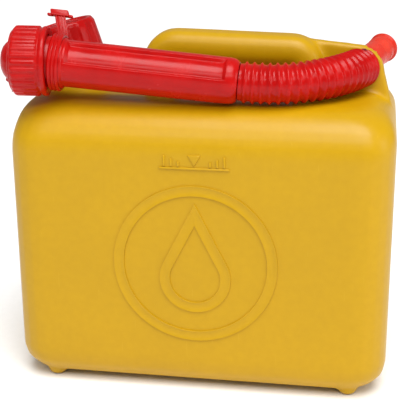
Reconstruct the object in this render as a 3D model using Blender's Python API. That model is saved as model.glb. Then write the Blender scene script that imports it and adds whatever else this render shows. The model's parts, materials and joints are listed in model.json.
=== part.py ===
"""Five-litre moulded fuel can with a child-resistant filler cap and a flexible spout on its shoulder."""

import math

import bmesh
import bpy
from mathutils import Matrix, Vector

# Every size below is in millimetres, and MM turns it into metres as a mesh is made.
MM = 0.001
GAP = 0.3

# Tank: a blow-moulded shell. Its mid-plane is X = 0 in the can's own frame, and it stands on Z = 0.
TANK_LENGTH = 256.0
TANK_DEPTH = 144.0
SHOULDER_HEIGHT = 199.0
WALL = 2.0
FOOT_HEIGHT = 2.5
FOOT_RADIUS = 7.0
FOOT_EDGE = 0.5
FOOT_SOLE_SHARE = 0.62
FOOT_EDGE_SHARE = 0.8
FOOT_FILLET = 1.5
FOOT_ROOT = 5.0
FOOT_FROM_END = 25.0
FOOT_FROM_FACE = 15.5
CORNER_RADIUS = 22.0
BASE_RADIUS = 20.0
SHOULDER_RADIUS = 30.0
LEFT_END_RADIUS = 12.0
RIGHT_END_RADIUS = 22.0
LEAN_START = 34.0
LEAN_BLEND = 16.0
LEAN_SLOPE = 0.30
LEVEL_STEP = 4.0

# Carrying handle: an arch along the can, hollow like the tank.
HANDLE_RISE = 40.0
HANDLE_SLOPE = 2.0
HANDLE_BAR_HEIGHT = 21.0
HANDLE_BAR_DEPTH = 28.0
HANDLE_EDGE_RADIUS = 9.0
HANDLE_BEND = 11.5
HANDLE_WALL = 2.4
HANDLE_FROM_LEFT_END = 92.5
HANDLE_FROM_RIGHT_END = 60.5
HANDLE_ROOT = 2 * WALL + 2.0

# Filler neck and its two-piece closure, all about one axis that leans to the left.
NECK_TILT = math.radians(15.0)
NECK_BACK = 4.0
NECK_RADIUS = 18.5
NECK_WALL = 2.6
NECK_HEIGHT = 33.0
NECK_ROOT = 12.0
BORE_OVERRUN = 8.0
COLLAR_RADIUS = NECK_RADIUS + 3.0
COLLAR_HEIGHT = 6.0
COLLAR_CHAMFER = 2.0
NECK_FROM_LEFT_END = COLLAR_RADIUS + 12.0
THREAD_CLEARANCE = 0.9
GASKET_THICKNESS = 2.0
GASKET_BORE_ROOM = 0.4
GASKET_RIM_ROOM = 0.2
CAP_SKIN = 1.5
CAP_SHELL_GAP = 0.5
CAP_PUSH = 2.0
CAP_SKIRT = 19.5
CAP_CORE_LIFT = 1.0
CAP_DISH_DEPTH = 2.2
CAP_DISH_RAMP = 1.2
CAP_RIM_WIDTH = 5.0
CAP_EDGE_DROP = 1.6
CAP_EDGE_INSET = 0.8
CAP_TAPER = 1.4
CAP_LUGS = 10
CAP_LUG_HEIGHT = 0.9
CAP_LUG_RAMP = 2.0
CAP_RADIUS = NECK_RADIUS + THREAD_CLEARANCE + CAP_SKIN + CAP_SHELL_GAP + CAP_SKIN

# Spout: nut, tube, hose and nozzle. The spout lies along the front of the shoulder, dips to the right and
# turns a little to the back. Heights along it count from the middle of the nut's end wall.
SPOUT_HEADING = math.radians(2.5)
SPOUT_DIP = math.radians(5.17)
SPOUT_SETTLE = 0.3
TUBE_END_FROM_RIGHT_END = 102.5
TUBE_LENGTH = 126.5
TUBE_RADIUS = 15.4
TUBE_END_RADIUS = TUBE_RADIUS - 0.3
TUBE_WALL = 1.8
TUBE_COLLAR_RADIUS = TUBE_RADIUS + 1.2
TUBE_COLLAR_STEP = 0.8
TUBE_FLANGE_RADIUS = TUBE_COLLAR_RADIUS + 2.8
TUBE_FLANGE = 3.0
TUBE_SOCKET = 6.0
TUBE_SOCKET_CONE = 8.0
TUBE_LIP_START = 4.0
TUBE_LIP_ROUND = 1.4
TUBE_LIP_SHOULDER = 0.8
TUBE_LIP_DEPTH = 2.4
FLUTE_FROM_COLLAR = 2.0
FLUTE_RUN_IN = 2.0
FLUTE_FROM_END = 6.0
FLUTE_DEPTH = 2.6
FLUTE_HALF_ANGLE = math.radians(30.0)
FLUTE_ANGLE = math.radians(138.0)
FLUTE_RUN_OUT = 8.0
SEAL_RIM_ROOM = 0.8

# The union nut hangs loose on the tube's flange, turned this much from the tube's axis.
NUT_TURN = math.radians(4.5)
NUT_DROOP = math.radians(3.92)
NUT_TILT = math.hypot(NUT_TURN, NUT_DROOP)
NUT_WALL = 1.7
NUT_FLANGE_ROOM = 1.2
NUT_RADIUS = TUBE_FLANGE_RADIUS + NUT_FLANGE_ROOM + NUT_WALL
NUT_RIB = 0.6
NUT_RIBS = 30
NUT_RIB_RAMP = 1.2
NUT_MOUTH = 21.1
NUT_MOUTH_CHAMFER = 0.8
NUT_RIBBED = -3.6
NUT_GROOVE = 0.6
NUT_GROOVE_RAMP = 1.0
NUT_END_WALL = 2.6
NUT_END = 1.4
NUT_END_ROUND = 1.5
NUT_END_CHAMFER = 0.4
NUT_FLARE = 0.5
NUT_HOLE_CLEARANCE = 0.5
PLUG_DOME_RADIUS = NUT_RADIUS - 8.8
PLUG_DOME_HEIGHT = 8.2
PLUG_FLANGE = 1.2
PLUG_FIT = 0.5
PLUG_STEP = 2.0
PLUG_SKIN = 1.6
PLUG_SLEEVE = 9.0

# The spout passes the filler cap with this much between them, measured across the can at the tube's end.
SPOUT_TO_CAP = 4.55
SPOUT_FORWARD = NUT_RADIUS + NUT_RIB + SPOUT_TO_CAP + CAP_RADIUS + CAP_LUG_HEIGHT - NECK_BACK

# Hose and nozzle: the hose bends to the back, and the nozzle goes through the eye in the web.
NOZZLE_HEADING = math.radians(67.2)
NOZZLE_CLIMB = math.radians(9.0)
NOZZLE_CUFF = 1.5
NOZZLE_CUFF_TAPER = 0.4
NOZZLE_RADIUS = 9.3
NOZZLE_BEAD = 1.05
NOZZLE_BEAD_LENGTH = 2.4
NOZZLE_BEAD_SLOPE = 0.3
NOZZLE_TIP_STEP = 0.3
NOZZLE_CONE = 5.5
NOZZLE_LENGTH = 47.8
NOZZLE_WALL = 1.5
EYE_CLEARANCE = 0.7
EYE_RADIUS = NOZZLE_RADIUS + NOZZLE_BEAD + EYE_CLEARANCE
EYE_RUN_IN = 4.0
EYE_RUN_OUT = 34.0
NOZZLE_CUFF_RADIUS = EYE_RADIUS - 0.45
HOSE_RADIUS = TUBE_END_RADIUS - 1.5
HOSE_WALL = 2.2
HOSE_END_FROM_RIGHT_END = EYE_RADIUS + 17.85
HOSE_END_ABOVE_SHOULDER = HOSE_RADIUS + 2.8
HOSE_TO_WEB = 0.7

# Web at the right-hand end, with the eye that holds the nozzle.
WEB_THICKNESS = 8.5
WEB_BACK = 7.0
WEB_ABOVE_EYE = 4.15
WEB_TOP_RIGHT = HOSE_END_ABOVE_SHOULDER + EYE_RADIUS + WEB_ABOVE_EYE
WEB_TOP_LEFT = WEB_TOP_RIGHT + 3.3
WEB_CORNER_RADIUS = 17.0
WEB_FROM_RIGHT_END = 9.8
WEB_LEAN = 0.27
WEB_ROOT = 14.0
WEB_BEVEL = 1.6

# Tether: a ring on the spout's collar, a band that stands up from it and a cross head.
TETHER_FIT = 0.4
TETHER_RING_WIDTH = 7.5
TETHER_RING_THICKNESS = 1.8
TETHER_RIDGES = 3
TETHER_RIDGE = 0.6
TETHER_RIDGE_START = 0.15
TETHER_RIDGE_HALF = 0.35
TETHER_BAND_WIDTH = 7.2
TETHER_BAND_THICKNESS = 2.0
TETHER_BAND_RISE = 17.0
TETHER_BAND_ROOT = 1.0
TETHER_HEAD_LENGTH = 12.4
TETHER_HEAD_SIZE = 3.6
TETHER_HEAD_PROUD = 1.6
TETHER_CHAMFER = 0.6
TETHER_ANGLE = math.radians(55.0)
TETHER_LEAN = 0.3
TETHER_RING_RADIUS = TUBE_COLLAR_RADIUS + TETHER_FIT + TETHER_RING_THICKNESS

# Raised emblem on the front: a plain ring round a drop.
EMBLEM_HEIGHT = 95.0
EMBLEM_RADIUS = 55.0
EMBLEM_BAND = 7.0
EMBLEM_RELIEF = 1.0
DROP_RADIUS = 24.0
DROP_TIP = 43.0
DROP_CENTRE = -10.0
DROP_TIP_BAND = 18.2

# Facets round a full turn.
ROUND = 40
SMALL_ROUND = 24
HOSE_STRAIGHT_STEPS = 5
HOSE_BEND_STEPS = 12
CORNER_STEPS = 5
BEND_STEPS = 6
FACE_STEPS = 9
BASE_STEPS = 4
FOOT_STEPS = 16
DROP_STEPS = 24
EYE_STEPS = 32
TUBE_STEPS = 48
CAP_LUG_STEPS = 4
SMOOTH_ANGLE = math.radians(35.0)
WELD = 0.001

YELLOW = (0.83, 0.49, 0.012)
RED = (0.60, 0.010, 0.012)
PALE_RED = (0.72, 0.05, 0.05)
RUBBER = (0.02, 0.02, 0.02)


def clear_scene():
    for leftover in list(bpy.data.objects):
        bpy.data.objects.remove(leftover, do_unlink=True)


def plastic(name, colour, roughness):
    material = bpy.data.materials.new(name)
    material.use_nodes = True
    shader = material.node_tree.nodes["Principled BSDF"]
    shader.inputs["Base Color"].default_value = (*colour, 1.0)
    shader.inputs["Roughness"].default_value = roughness
    shader.inputs["Metallic"].default_value = 0.0
    return material


def empty(name, parent, matrix):
    frame = bpy.data.objects.new(name, None)
    bpy.context.scene.collection.objects.link(frame)
    frame.parent = parent
    frame.matrix_local = matrix
    return frame


def solid(name, shape, material, parent):
    """Scales a bmesh in millimetres to metres and puts it in the scene under its parent frame."""
    bmesh.ops.remove_doubles(shape, verts=shape.verts, dist=WELD)
    bmesh.ops.recalc_face_normals(shape, faces=shape.faces)
    bmesh.ops.scale(shape, vec=(MM, MM, MM), verts=shape.verts)
    mesh = bpy.data.meshes.new(name)
    shape.to_mesh(mesh)
    shape.free()
    mesh.shade_smooth()
    mesh.set_sharp_from_angle(angle=SMOOTH_ANGLE)
    piece = bpy.data.objects.new(name, mesh)
    bpy.context.scene.collection.objects.link(piece)
    piece.parent = parent
    if material:
        mesh.materials.append(material)
    return piece


def combine(piece, other, operation):
    """Adds an exact Boolean of another shape, which stays in the scene as a hidden guide."""
    other.hide_render = True
    other.display_type = "WIRE"
    boolean = piece.modifiers.new(other.name, "BOOLEAN")
    boolean.object = other
    boolean.operation = operation
    boolean.solver = "EXACT"


def loft(rings, cyclic=False):
    """Skins a row of rings of as many points each. An open row is capped, a cyclic one closes."""
    shape = bmesh.new()
    rows = [[shape.verts.new(point) for point in ring] for ring in rings]
    count = len(rows[0])
    pairs = list(zip(rows, rows[1:]))
    if cyclic:
        pairs.append((rows[-1], rows[0]))
    for low, high in pairs:
        for index in range(count):
            after = (index + 1) % count
            shape.faces.new((low[index], low[after], high[after], high[index]))
    if not cyclic:
        shape.faces.new(rows[0])
        shape.faces.new(list(reversed(rows[-1])))
    return shape


def circle(radius, height, steps=ROUND, rib=0.0):
    """A ring about local Z. A rib is added to every other point."""
    points = []
    for step in range(steps):
        angle = 2 * math.pi * step / steps
        reach = radius + rib * (step % 2)
        points.append(Vector((reach * math.cos(angle), reach * math.sin(angle), height)))
    return points


def turned(profile, steps=ROUND):
    """A solid of revolution about local Z, from the corners (radius, height) all round its section."""
    return loft([circle(radius, height, steps) for radius, height in profile], cyclic=True)


def dome(radius, base, rise, steps=5):
    """Corners of a quarter ellipse from the pole down to the rim, rising towards negative heights."""
    corners = []
    for step in range(steps + 1):
        angle = math.pi / 2 * step / steps
        corners.append((radius * math.sin(angle), base - rise * math.cos(angle)))
    return corners


def arc_inset(radius, above):
    """How far a quarter circle has turned in at a height above its start."""
    above = min(max(above, 0.0), radius)
    return radius - math.sqrt(max(radius * radius - above * above, 0.0))


def lean_inset(above):
    """The left-hand end leans in: a blend, then a straight slope."""
    if above <= 0:
        return 0.0
    if above < LEAN_BLEND:
        return LEAN_SLOPE * above * above / (2 * LEAN_BLEND)
    return LEAN_SLOPE * (above - LEAN_BLEND / 2)


def rounded_ring(left, right, depth, radius, height):
    """A rectangle with round corners in a level plane."""
    points = []
    corners = (
        (right - radius, depth - radius, 0),
        (left + radius, depth - radius, 1),
        (left + radius, radius - depth, 2),
        (right - radius, radius - depth, 3),
    )
    for x, y, quarter in corners:
        for step in range(CORNER_STEPS + 1):
            angle = math.pi / 2 * (quarter + step / CORNER_STEPS)
            points.append(
                Vector((x + radius * math.cos(angle), y + radius * math.sin(angle), height))
            )
    return points


def tank_form(wall):
    """The tank's outer form, or its hollow when a wall is given."""
    base = FOOT_HEIGHT + wall
    top = SHOULDER_HEIGHT - wall
    half = TANK_LENGTH / 2 - wall
    depth = TANK_DEPTH / 2 - wall
    base_radius = BASE_RADIUS - wall
    steps = range(BASE_STEPS + 1)
    levels = [base + base_radius * (1 - math.cos(math.pi / 2 * k / BASE_STEPS)) for k in steps]
    levels.append((base + top) / 2)
    widest = max(SHOULDER_RADIUS, LEAN_START) - wall
    levels.append(top - widest - LEVEL_STEP)
    steps = range(FACE_STEPS + 1)
    levels += [top - widest * (1 - math.sin(math.pi / 2 * k / FACE_STEPS)) for k in steps]
    rings = []
    for level in levels:
        foot = arc_inset(base_radius, base + base_radius - level)
        face = arc_inset(SHOULDER_RADIUS - wall, level - (top - SHOULDER_RADIUS + wall))
        left = arc_inset(LEFT_END_RADIUS - wall, level - (top - LEFT_END_RADIUS + wall))
        left += lean_inset(level - (SHOULDER_HEIGHT - LEAN_START))
        right = arc_inset(RIGHT_END_RADIUS - wall, level - (top - RIGHT_END_RADIUS + wall))
        rings.append(
            rounded_ring(
                -half + foot + left,
                half - foot - right,
                depth - foot - face,
                CORNER_RADIUS - wall,
                level,
            )
        )
    return loft(rings)


def handle_form(wall):
    """The arch, or its hollow: a round-edged section swept up, along and down."""
    left = HANDLE_FROM_LEFT_END - TANK_LENGTH / 2
    right = TANK_LENGTH / 2 - HANDLE_FROM_RIGHT_END
    bar = SHOULDER_HEIGHT + HANDLE_RISE - HANDLE_BAR_HEIGHT / 2
    bar_right = bar - HANDLE_SLOPE
    foot = SHOULDER_HEIGHT - HANDLE_ROOT
    bend = HANDLE_BEND
    stations = [(left, foot, math.pi / 2)]
    for step in range(BEND_STEPS + 1):
        angle = math.pi / 2 * step / BEND_STEPS
        stations.append(
            (
                left + bend * (1 - math.cos(angle)),
                bar - bend * (1 - math.sin(angle)),
                math.pi / 2 - angle,
            )
        )
    for step in range(BEND_STEPS + 1):
        angle = math.pi / 2 * step / BEND_STEPS
        stations.append(
            (
                right - bend * (1 - math.sin(angle)),
                bar_right - bend * (1 - math.cos(angle)),
                -angle,
            )
        )
    stations.append((right, foot, -math.pi / 2))
    reach = HANDLE_BAR_HEIGHT / 2 - wall
    depth = HANDLE_BAR_DEPTH / 2 - wall
    edge = HANDLE_EDGE_RADIUS - wall
    rings = []
    for x, z, heading in stations:
        outward = Vector((-math.sin(heading), 0.0, math.cos(heading)))
        ring = []
        for point in rounded_ring(-reach, reach, depth, edge, 0.0):
            ring.append(Vector((x, point.y, z)) + outward * point.x)
        rings.append(ring)
    return loft(rings)


def web_form():
    """The web's outline in the XZ plane, extruded in Y with a bevel at both faces."""
    left = TANK_LENGTH / 2 - HANDLE_FROM_RIGHT_END
    right = TANK_LENGTH / 2 - WEB_FROM_RIGHT_END
    top = SHOULDER_HEIGHT + WEB_TOP_RIGHT
    corner = WEB_CORNER_RADIUS
    root = SHOULDER_HEIGHT - WEB_ROOT
    outline = [(left, root), (left, SHOULDER_HEIGHT + WEB_TOP_LEFT)]
    for step in range(BEND_STEPS + 1):
        angle = math.pi / 2 * (1 - step / BEND_STEPS)
        outline.append(
            (right - corner + corner * math.cos(angle), top - corner + corner * math.sin(angle))
        )
    outline.append((right + WEB_LEAN * (top - corner - root), root))
    front = WEB_BACK - WEB_THICKNESS
    middle = Vector(((left + right) / 2, 0.0, (top + root) / 2))
    rings = []
    for y, inset in (
        (front, WEB_BEVEL),
        (front + WEB_BEVEL, 0.0),
        (WEB_BACK - WEB_BEVEL, 0.0),
        (WEB_BACK, WEB_BEVEL),
    ):
        ring = []
        for x, z in outline:
            inward = Vector((middle.x - x, 0.0, middle.z - z)).normalized()
            ring.append(Vector((x, y, z)) + inward * inset)
        rings.append(ring)
    return loft(rings)


def foot_form(x, y):
    """A round foot that narrows towards its sole and reaches into the tank's base."""
    rings = []
    for height, share in (
        (0.0, FOOT_SOLE_SHARE),
        (FOOT_EDGE, FOOT_EDGE_SHARE),
        (FOOT_HEIGHT + FOOT_FILLET, 1.0),
        (FOOT_HEIGHT + FOOT_ROOT, 1.0),
    ):
        ring = circle(FOOT_RADIUS * share, height, FOOT_STEPS)
        rings.append([point + Vector((x, y, 0.0)) for point in ring])
    return loft(rings)


def relief(outline, inner):
    """A raised band between two outlines (x, z) on the front face."""
    face = -TANK_DEPTH / 2
    rings = []
    for points, y in (
        (outline, face + WALL / 2),
        (outline, face - EMBLEM_RELIEF),
        (inner, face - EMBLEM_RELIEF),
        (inner, face + WALL / 2),
    ):
        rings.append([Vector((x, y, EMBLEM_HEIGHT + z)) for x, z in points])
    return loft(rings, cyclic=True)


def round_outline(radius):
    return [(point.x, point.y) for point in circle(radius, 0.0, ROUND)]


def drop_outline(radius, tip):
    """A circle's arc below and two tangents that meet at the tip above."""
    reach = tip - DROP_CENTRE
    touch = math.asin(radius / reach)
    points = []
    for step in range(DROP_STEPS + 1):
        angle = math.pi - touch + (math.pi + 2 * touch) * step / DROP_STEPS
        points.append((radius * math.cos(angle), DROP_CENTRE + radius * math.sin(angle)))
    points.append((0.0, tip))
    return points


def make_tank(can, neck, eye_axis, material):
    tank = solid("tank_shell", tank_form(0.0), material, can)
    combine(tank, solid("handle_arch", handle_form(0.0), None, can), "UNION")
    combine(tank, solid("eye_web", web_form(), None, can), "UNION")
    outside = [
        (0.0, -NECK_ROOT),
        (COLLAR_RADIUS, -NECK_ROOT),
        (COLLAR_RADIUS, COLLAR_HEIGHT),
        (NECK_RADIUS, COLLAR_HEIGHT + COLLAR_CHAMFER),
        (NECK_RADIUS, NECK_HEIGHT),
        (0.0, NECK_HEIGHT),
    ]
    combine(tank, solid("neck_outside", turned(outside), None, neck), "UNION")
    for x in (FOOT_FROM_END - TANK_LENGTH / 2, TANK_LENGTH / 2 - FOOT_FROM_END):
        for y in (FOOT_FROM_FACE - TANK_DEPTH / 2, TANK_DEPTH / 2 - FOOT_FROM_FACE):
            combine(tank, solid("foot", foot_form(x, y), None, can), "UNION")
    ring = relief(round_outline(EMBLEM_RADIUS), round_outline(EMBLEM_RADIUS - EMBLEM_BAND))
    combine(tank, solid("emblem_ring", ring, None, can), "UNION")
    drop = relief(
        drop_outline(DROP_RADIUS, DROP_TIP),
        drop_outline(DROP_RADIUS - EMBLEM_BAND, DROP_TIP - DROP_TIP_BAND),
    )
    combine(tank, solid("emblem_drop", drop, None, can), "UNION")
    combine(tank, solid("tank_hollow", tank_form(WALL), None, can), "DIFFERENCE")
    combine(tank, solid("handle_hollow", handle_form(HANDLE_WALL), None, can), "DIFFERENCE")
    bore_radius = NECK_RADIUS - NECK_WALL
    bore = [
        (0.0, -NECK_ROOT - BORE_OVERRUN),
        (bore_radius, -NECK_ROOT - BORE_OVERRUN),
        (bore_radius, NECK_HEIGHT + BORE_OVERRUN),
        (0.0, NECK_HEIGHT + BORE_OVERRUN),
    ]
    combine(tank, solid("neck_bore", turned(bore), None, neck), "DIFFERENCE")
    eye = [
        (0.0, -EYE_RUN_IN),
        (EYE_RADIUS, -EYE_RUN_IN),
        (EYE_RADIUS, EYE_RUN_OUT),
        (0.0, EYE_RUN_OUT),
    ]
    combine(tank, solid("eye_hole", turned(eye, EYE_STEPS), None, eye_axis), "DIFFERENCE")


def make_closure(neck, red, rubber):
    """The gasket, the threaded inner cap and the lugged outer shell, stacked on the neck's rim."""
    bore_radius = NECK_RADIUS - NECK_WALL
    seat = NECK_HEIGHT + GAP
    gasket_top = seat + GASKET_THICKNESS
    gasket = [
        (bore_radius + GASKET_BORE_ROOM, seat),
        (NECK_RADIUS - GASKET_RIM_ROOM, seat),
        (NECK_RADIUS - GASKET_RIM_ROOM, gasket_top),
        (bore_radius + GASKET_BORE_ROOM, gasket_top),
    ]
    solid("filler_cap_gasket", turned(gasket), rubber, neck)
    skirt = NECK_HEIGHT - CAP_SKIRT
    inside = NECK_RADIUS + THREAD_CLEARANCE
    plate = gasket_top + GAP
    core_radius = inside + CAP_SKIN
    core_top = plate + CAP_SKIN
    core = [
        (0.0, plate),
        (inside, plate),
        (inside, skirt + CAP_CORE_LIFT),
        (core_radius, skirt + CAP_CORE_LIFT),
        (core_radius, core_top),
        (0.0, core_top),
    ]
    solid("filler_cap_inner", turned(core), red, neck)
    shell_inside = core_radius + CAP_SHELL_GAP
    ceiling = core_top + CAP_PUSH + GAP
    dish = ceiling + CAP_SKIN
    rim = dish + CAP_DISH_DEPTH
    steps = CAP_LUGS * CAP_LUG_STEPS
    corners = (
        (0.0, ceiling, 0.0),
        (shell_inside, ceiling, 0.0),
        (shell_inside, skirt, 0.0),
        (CAP_RADIUS, skirt, 0.0),
        (CAP_RADIUS, skirt + CAP_LUG_RAMP, CAP_LUG_HEIGHT),
        (CAP_RADIUS - CAP_TAPER, rim - CAP_EDGE_DROP, CAP_LUG_HEIGHT),
        (CAP_RADIUS - CAP_TAPER - CAP_EDGE_INSET, rim, 0.0),
        (CAP_RADIUS - CAP_RIM_WIDTH, rim, 0.0),
        (CAP_RADIUS - CAP_RIM_WIDTH - CAP_DISH_RAMP, dish, 0.0),
        (0.0, dish, 0.0),
    )
    rings = []
    for radius, height, lug in corners:
        ring = []
        for step in range(steps):
            angle = 2 * math.pi * (step + 0.5) / steps
            reach = radius + (lug if step % CAP_LUG_STEPS < CAP_LUG_STEPS / 2 else 0.0)
            ring.append(Vector((reach * math.cos(angle), reach * math.sin(angle), height)))
        rings.append(ring)
    solid("filler_cap_outer", loft(rings, cyclic=True), red, neck)


def make_nut(nut_axis, red):
    """The union nut: ribbed outside, open at its mouth, with an end wall round the tube's collar."""
    inside = NUT_RADIUS - NUT_WALL
    steps = 2 * NUT_RIBS
    hole = TUBE_COLLAR_RADIUS + NUT_HOLE_CLEARANCE
    wall = NUT_END - NUT_END_WALL
    rings = [
        circle(inside, -NUT_MOUTH, steps),
        circle(NUT_RADIUS - NUT_MOUTH_CHAMFER, -NUT_MOUTH, steps),
        circle(NUT_RADIUS, -NUT_MOUTH + NUT_RIB_RAMP, steps, NUT_RIB),
        circle(NUT_RADIUS, NUT_RIBBED, steps, NUT_RIB),
        circle(NUT_RADIUS - NUT_GROOVE, NUT_RIBBED + NUT_GROOVE_RAMP, steps),
        circle(NUT_RADIUS + NUT_FLARE, NUT_END - NUT_END_ROUND, steps),
        circle(NUT_RADIUS - NUT_END_CHAMFER, NUT_END, steps),
        circle(hole, NUT_END, steps),
        circle(hole, wall, steps),
        circle(inside, wall, steps),
    ]
    solid("spout_nut", loft(rings, cyclic=True), red, nut_axis)


def make_plug(nut_axis, red):
    """The dust plug in the nut's mouth: a dome, a flange and a thin sleeve, open towards the tube."""
    flange = NUT_RADIUS - NUT_WALL - PLUG_FIT
    face = -NUT_MOUTH - PLUG_FLANGE
    inner_face = face + PLUG_SKIN
    sleeve = flange - PLUG_STEP
    profile = dome(PLUG_DOME_RADIUS, face, PLUG_DOME_HEIGHT)
    profile += [
        (flange, face),
        (flange, inner_face),
        (sleeve, inner_face),
        (sleeve, inner_face + PLUG_SLEEVE),
        (sleeve - PLUG_SKIN, inner_face + PLUG_SLEEVE),
        (sleeve - PLUG_SKIN, inner_face),
    ]
    inner = dome(PLUG_DOME_RADIUS - PLUG_SKIN, inner_face, PLUG_DOME_HEIGHT)
    profile += list(reversed(inner))
    solid("spout_nut_plug", turned(profile), red, nut_axis)


def flute(angle, height, start, end):
    """Depth of the two opposite flutes at an angle round the tube and a height along it."""
    depth = 0.0
    for middle in (FLUTE_ANGLE, FLUTE_ANGLE + math.pi):
        away = abs((angle - middle + math.pi) % (2 * math.pi) - math.pi)
        if away < FLUTE_HALF_ANGLE:
            depth = FLUTE_DEPTH
    run_in = (height - start) / FLUTE_RUN_IN
    run_out = (end - height) / FLUTE_RUN_OUT
    return depth * min(max(min(run_in, run_out), 0.0), 1.0)


def tilt_room(radius):
    """How far the tilted nut's faces reach along the tube's axis at a radius."""
    return radius * math.tan(NUT_TILT) + GAP


def tether_start():
    return NUT_END + tilt_room(TETHER_RING_RADIUS)


def flange_height():
    return NUT_END - NUT_END_WALL - tilt_room(TUBE_FLANGE_RADIUS)


def make_tube(spout, red):
    """The rigid tube: flange inside the nut, collar under the tether, fluted barrel, round end."""
    flange_end = flange_height()
    collar_end = tether_start() + TETHER_RING_WIDTH + 3 * GAP
    length = TUBE_LENGTH
    flute_start = collar_end + FLUTE_FROM_COLLAR
    flute_end = length - FLUTE_FROM_END
    outer = [
        (TUBE_FLANGE_RADIUS, flange_end - TUBE_FLANGE),
        (TUBE_FLANGE_RADIUS, flange_end),
        (TUBE_COLLAR_RADIUS, flange_end),
        (TUBE_COLLAR_RADIUS, collar_end),
        (TUBE_RADIUS, collar_end + TUBE_COLLAR_STEP),
    ]
    for height in (flute_start, flute_start + FLUTE_RUN_IN, flute_end - FLUTE_RUN_OUT, flute_end):
        share = (height - flute_start) / (flute_end - flute_start)
        outer.append((TUBE_RADIUS + (TUBE_END_RADIUS - TUBE_RADIUS) * share, height))
    outer += [
        (TUBE_END_RADIUS, length - TUBE_LIP_START),
        (TUBE_END_RADIUS - TUBE_LIP_SHOULDER, length - TUBE_LIP_ROUND),
        (TUBE_END_RADIUS - TUBE_LIP_DEPTH, length),
    ]
    bore = TUBE_RADIUS - FLUTE_DEPTH - TUBE_WALL
    socket = HOSE_RADIUS - HOSE_WALL
    inner = [
        (socket, length),
        (socket, length - TUBE_SOCKET),
        (bore, length - TUBE_SOCKET - TUBE_SOCKET_CONE),
        (bore, flange_end - TUBE_FLANGE),
    ]
    rings = []
    for radius, height in outer:
        ring = []
        for step in range(TUBE_STEPS):
            angle = 2 * math.pi * step / TUBE_STEPS
            reach = radius - flute(angle, height, flute_start, flute_end)
            ring.append(Vector((reach * math.cos(angle), reach * math.sin(angle), height)))
        rings.append(ring)
    rings += [circle(radius, height, TUBE_STEPS) for radius, height in inner]
    solid("spout_tube", loft(rings, cyclic=True), red, spout)


def make_gasket(spout, rubber):
    bore = TUBE_RADIUS - FLUTE_DEPTH - TUBE_WALL
    rim = TUBE_FLANGE_RADIUS - SEAL_RIM_ROOM
    high = flange_height() - TUBE_FLANGE - GAP
    profile = [
        (bore, high - GASKET_THICKNESS),
        (rim, high - GASKET_THICKNESS),
        (rim, high),
        (bore, high),
    ]
    solid("spout_gasket", turned(profile), rubber, spout)


def hose_stations(start, end):
    """Centre line and heading: straight on from the tube, then one round bend to the eye."""
    forward = Vector((math.cos(SPOUT_HEADING), math.sin(SPOUT_HEADING), 0.0))
    side = Vector((-math.sin(SPOUT_HEADING), math.cos(SPOUT_HEADING), 0.0))
    turn = NOZZLE_HEADING - SPOUT_HEADING
    radius = (end - start).dot(side) / (1 - math.cos(turn))
    straight = (end - start).dot(forward) - radius * math.sin(turn)
    length = straight + radius * turn
    rise = end.z - start.z
    drop = math.tan(SPOUT_DIP) * length
    places = [straight * step / HOSE_STRAIGHT_STEPS for step in range(HOSE_STRAIGHT_STEPS)]
    bend = radius * turn
    places += [straight + bend * step / HOSE_BEND_STEPS for step in range(HOSE_BEND_STEPS + 1)]
    stations = []
    for place in places:
        bent = max(place - straight, 0.0) / radius
        ahead = min(place, straight) + radius * math.sin(bent)
        point = start + forward * ahead + side * radius * (1 - math.cos(bent))
        share = place / length
        point.z = start.z + rise * (3 * share**2 - 2 * share**3) - drop * share * (1 - share) ** 2
        slope = (6 * rise * share * (1 - share) - drop * (1 - share) * (1 - 3 * share)) / length
        heading = SPOUT_HEADING + bent
        direction = Vector((math.cos(heading), math.sin(heading), slope)).normalized()
        stations.append((point, direction))
    return stations


def make_hose(can, start, end, red):
    """The hose, whose last ring is drawn out to a plane along the web's front face."""
    outer_rings = []
    inner_rings = []
    web_plane = WEB_BACK - WEB_THICKNESS - HOSE_TO_WEB
    for point, direction in hose_stations(start, end):
        side = Vector((0.0, 0.0, 1.0)).cross(direction).normalized()
        up = direction.cross(side)
        for rings, radius in ((outer_rings, HOSE_RADIUS), (inner_rings, HOSE_RADIUS - HOSE_WALL)):
            ring = []
            for corner in circle(radius, 0.0, SMALL_ROUND):
                ring.append(point + side * corner.x + up * corner.y)
            rings.append(ring)
    for ring in (outer_rings[-1], inner_rings[-1]):
        for point in ring:
            point += direction * ((web_plane - point.y) / direction.y)
    solid("spout_hose", loft(outer_rings + inner_rings[::-1], cyclic=True), red, can)


def nozzle_root():
    """The hose ends level and the nozzle climbs, so the cuff starts clear of the hose's end all round."""
    return NOZZLE_CUFF_RADIUS * math.tan(NOZZLE_CLIMB) + GAP


def make_nozzle(eye_axis, red):
    """The nozzle: a cuff on the hose, a cone, a straight tube through the eye and a bead at its tip."""
    root = nozzle_root()
    cone_end = root + NOZZLE_CONE
    tip = NOZZLE_LENGTH
    inside = NOZZLE_CUFF_RADIUS - NOZZLE_WALL
    profile = [
        (inside, root),
        (NOZZLE_CUFF_RADIUS, root),
        (NOZZLE_CUFF_RADIUS - NOZZLE_CUFF_TAPER, root + NOZZLE_CUFF),
        (NOZZLE_RADIUS, cone_end),
        (NOZZLE_RADIUS, tip - NOZZLE_BEAD_LENGTH),
        (NOZZLE_RADIUS + NOZZLE_BEAD, tip - (1 - NOZZLE_BEAD_SLOPE) * NOZZLE_BEAD_LENGTH),
        (NOZZLE_RADIUS + NOZZLE_BEAD, tip - NOZZLE_BEAD_SLOPE * NOZZLE_BEAD_LENGTH),
        (NOZZLE_RADIUS + NOZZLE_TIP_STEP, tip),
        (NOZZLE_RADIUS - NOZZLE_WALL, tip),
        (NOZZLE_RADIUS - NOZZLE_WALL, cone_end),
        (inside, root + NOZZLE_CUFF),
    ]
    solid("spout_nozzle", turned(profile, EYE_STEPS), red, eye_axis)


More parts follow.
